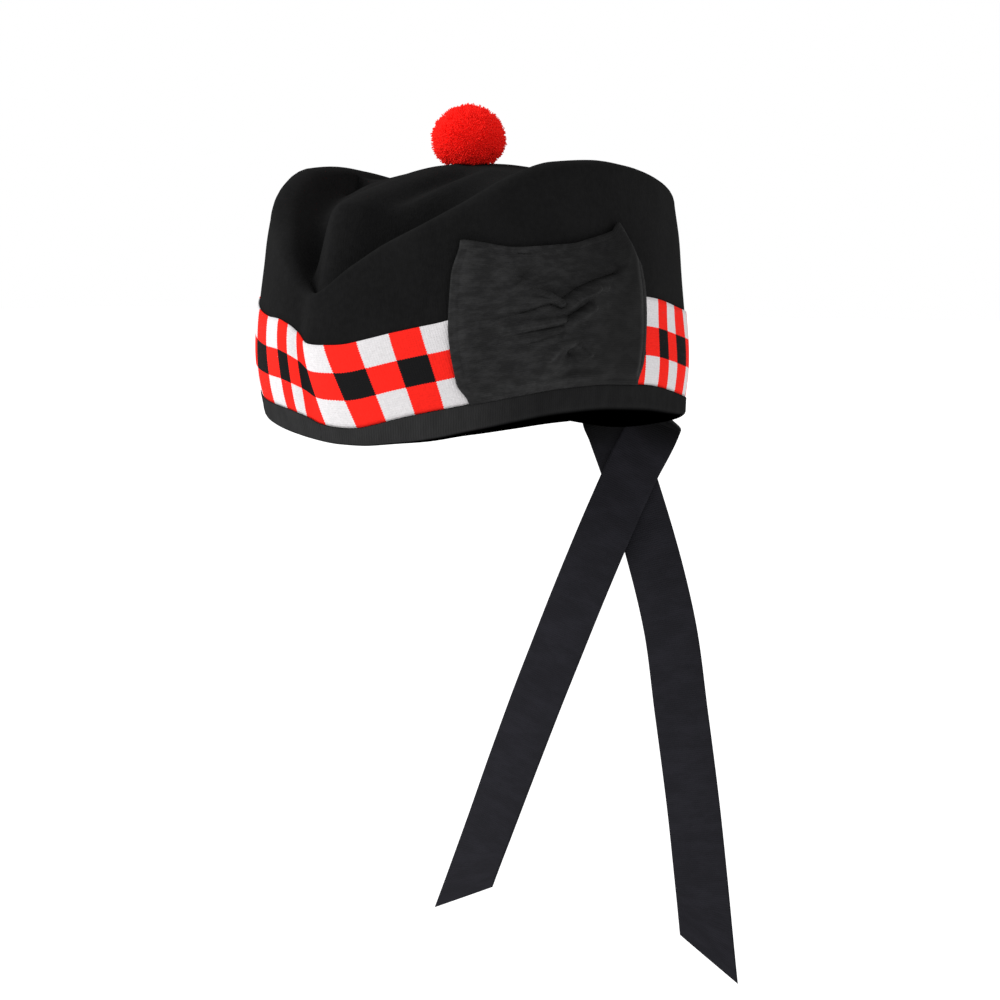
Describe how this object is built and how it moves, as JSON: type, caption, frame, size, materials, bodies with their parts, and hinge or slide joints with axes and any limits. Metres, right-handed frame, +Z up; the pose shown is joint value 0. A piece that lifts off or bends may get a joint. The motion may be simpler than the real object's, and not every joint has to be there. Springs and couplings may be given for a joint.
{
  "type": "glengarry cap",
  "caption": "Glengarry cap in black wool felt with a red, white and black diced band, a gathered silk cockade, a red toorie and two ribbon tails, held as on a head.",
  "frame": {"origin": "middle of the head opening, level with the lowest point of the front rim, where the cap sits on a head", "axes": "+Z up, -Y to the front of the cap, +X to the wearer's left, the side of the cockade"},
  "size_m": [0.1736, 0.2494, 0.4151],
  "materials": {
    "wool_felt": "napped milled wool, nearly black",
    "diced_wool": "knitted wool checks in red, white and black",
    "binding_ribbon": "black ribbed ribbon, low sheen",
    "ribbed_silk": "black ribbed silk, soft sheen",
    "toorie_wool": "cut wool yarn, bright red",
    "tail_ribbon": "black ribbed ribbon with a faint blue cast"
  },
  "bodies": {
    "root": {"crown_body": "wool_felt", "dice_band": "diced_wool", "rim_binding": "binding_ribbon", "cockade": "ribbed_silk", "toorie": "toorie_wool", "ribbon_tail_left": "tail_ribbon", "ribbon_tail_right": "tail_ribbon"}
  },
  "joints": []
}
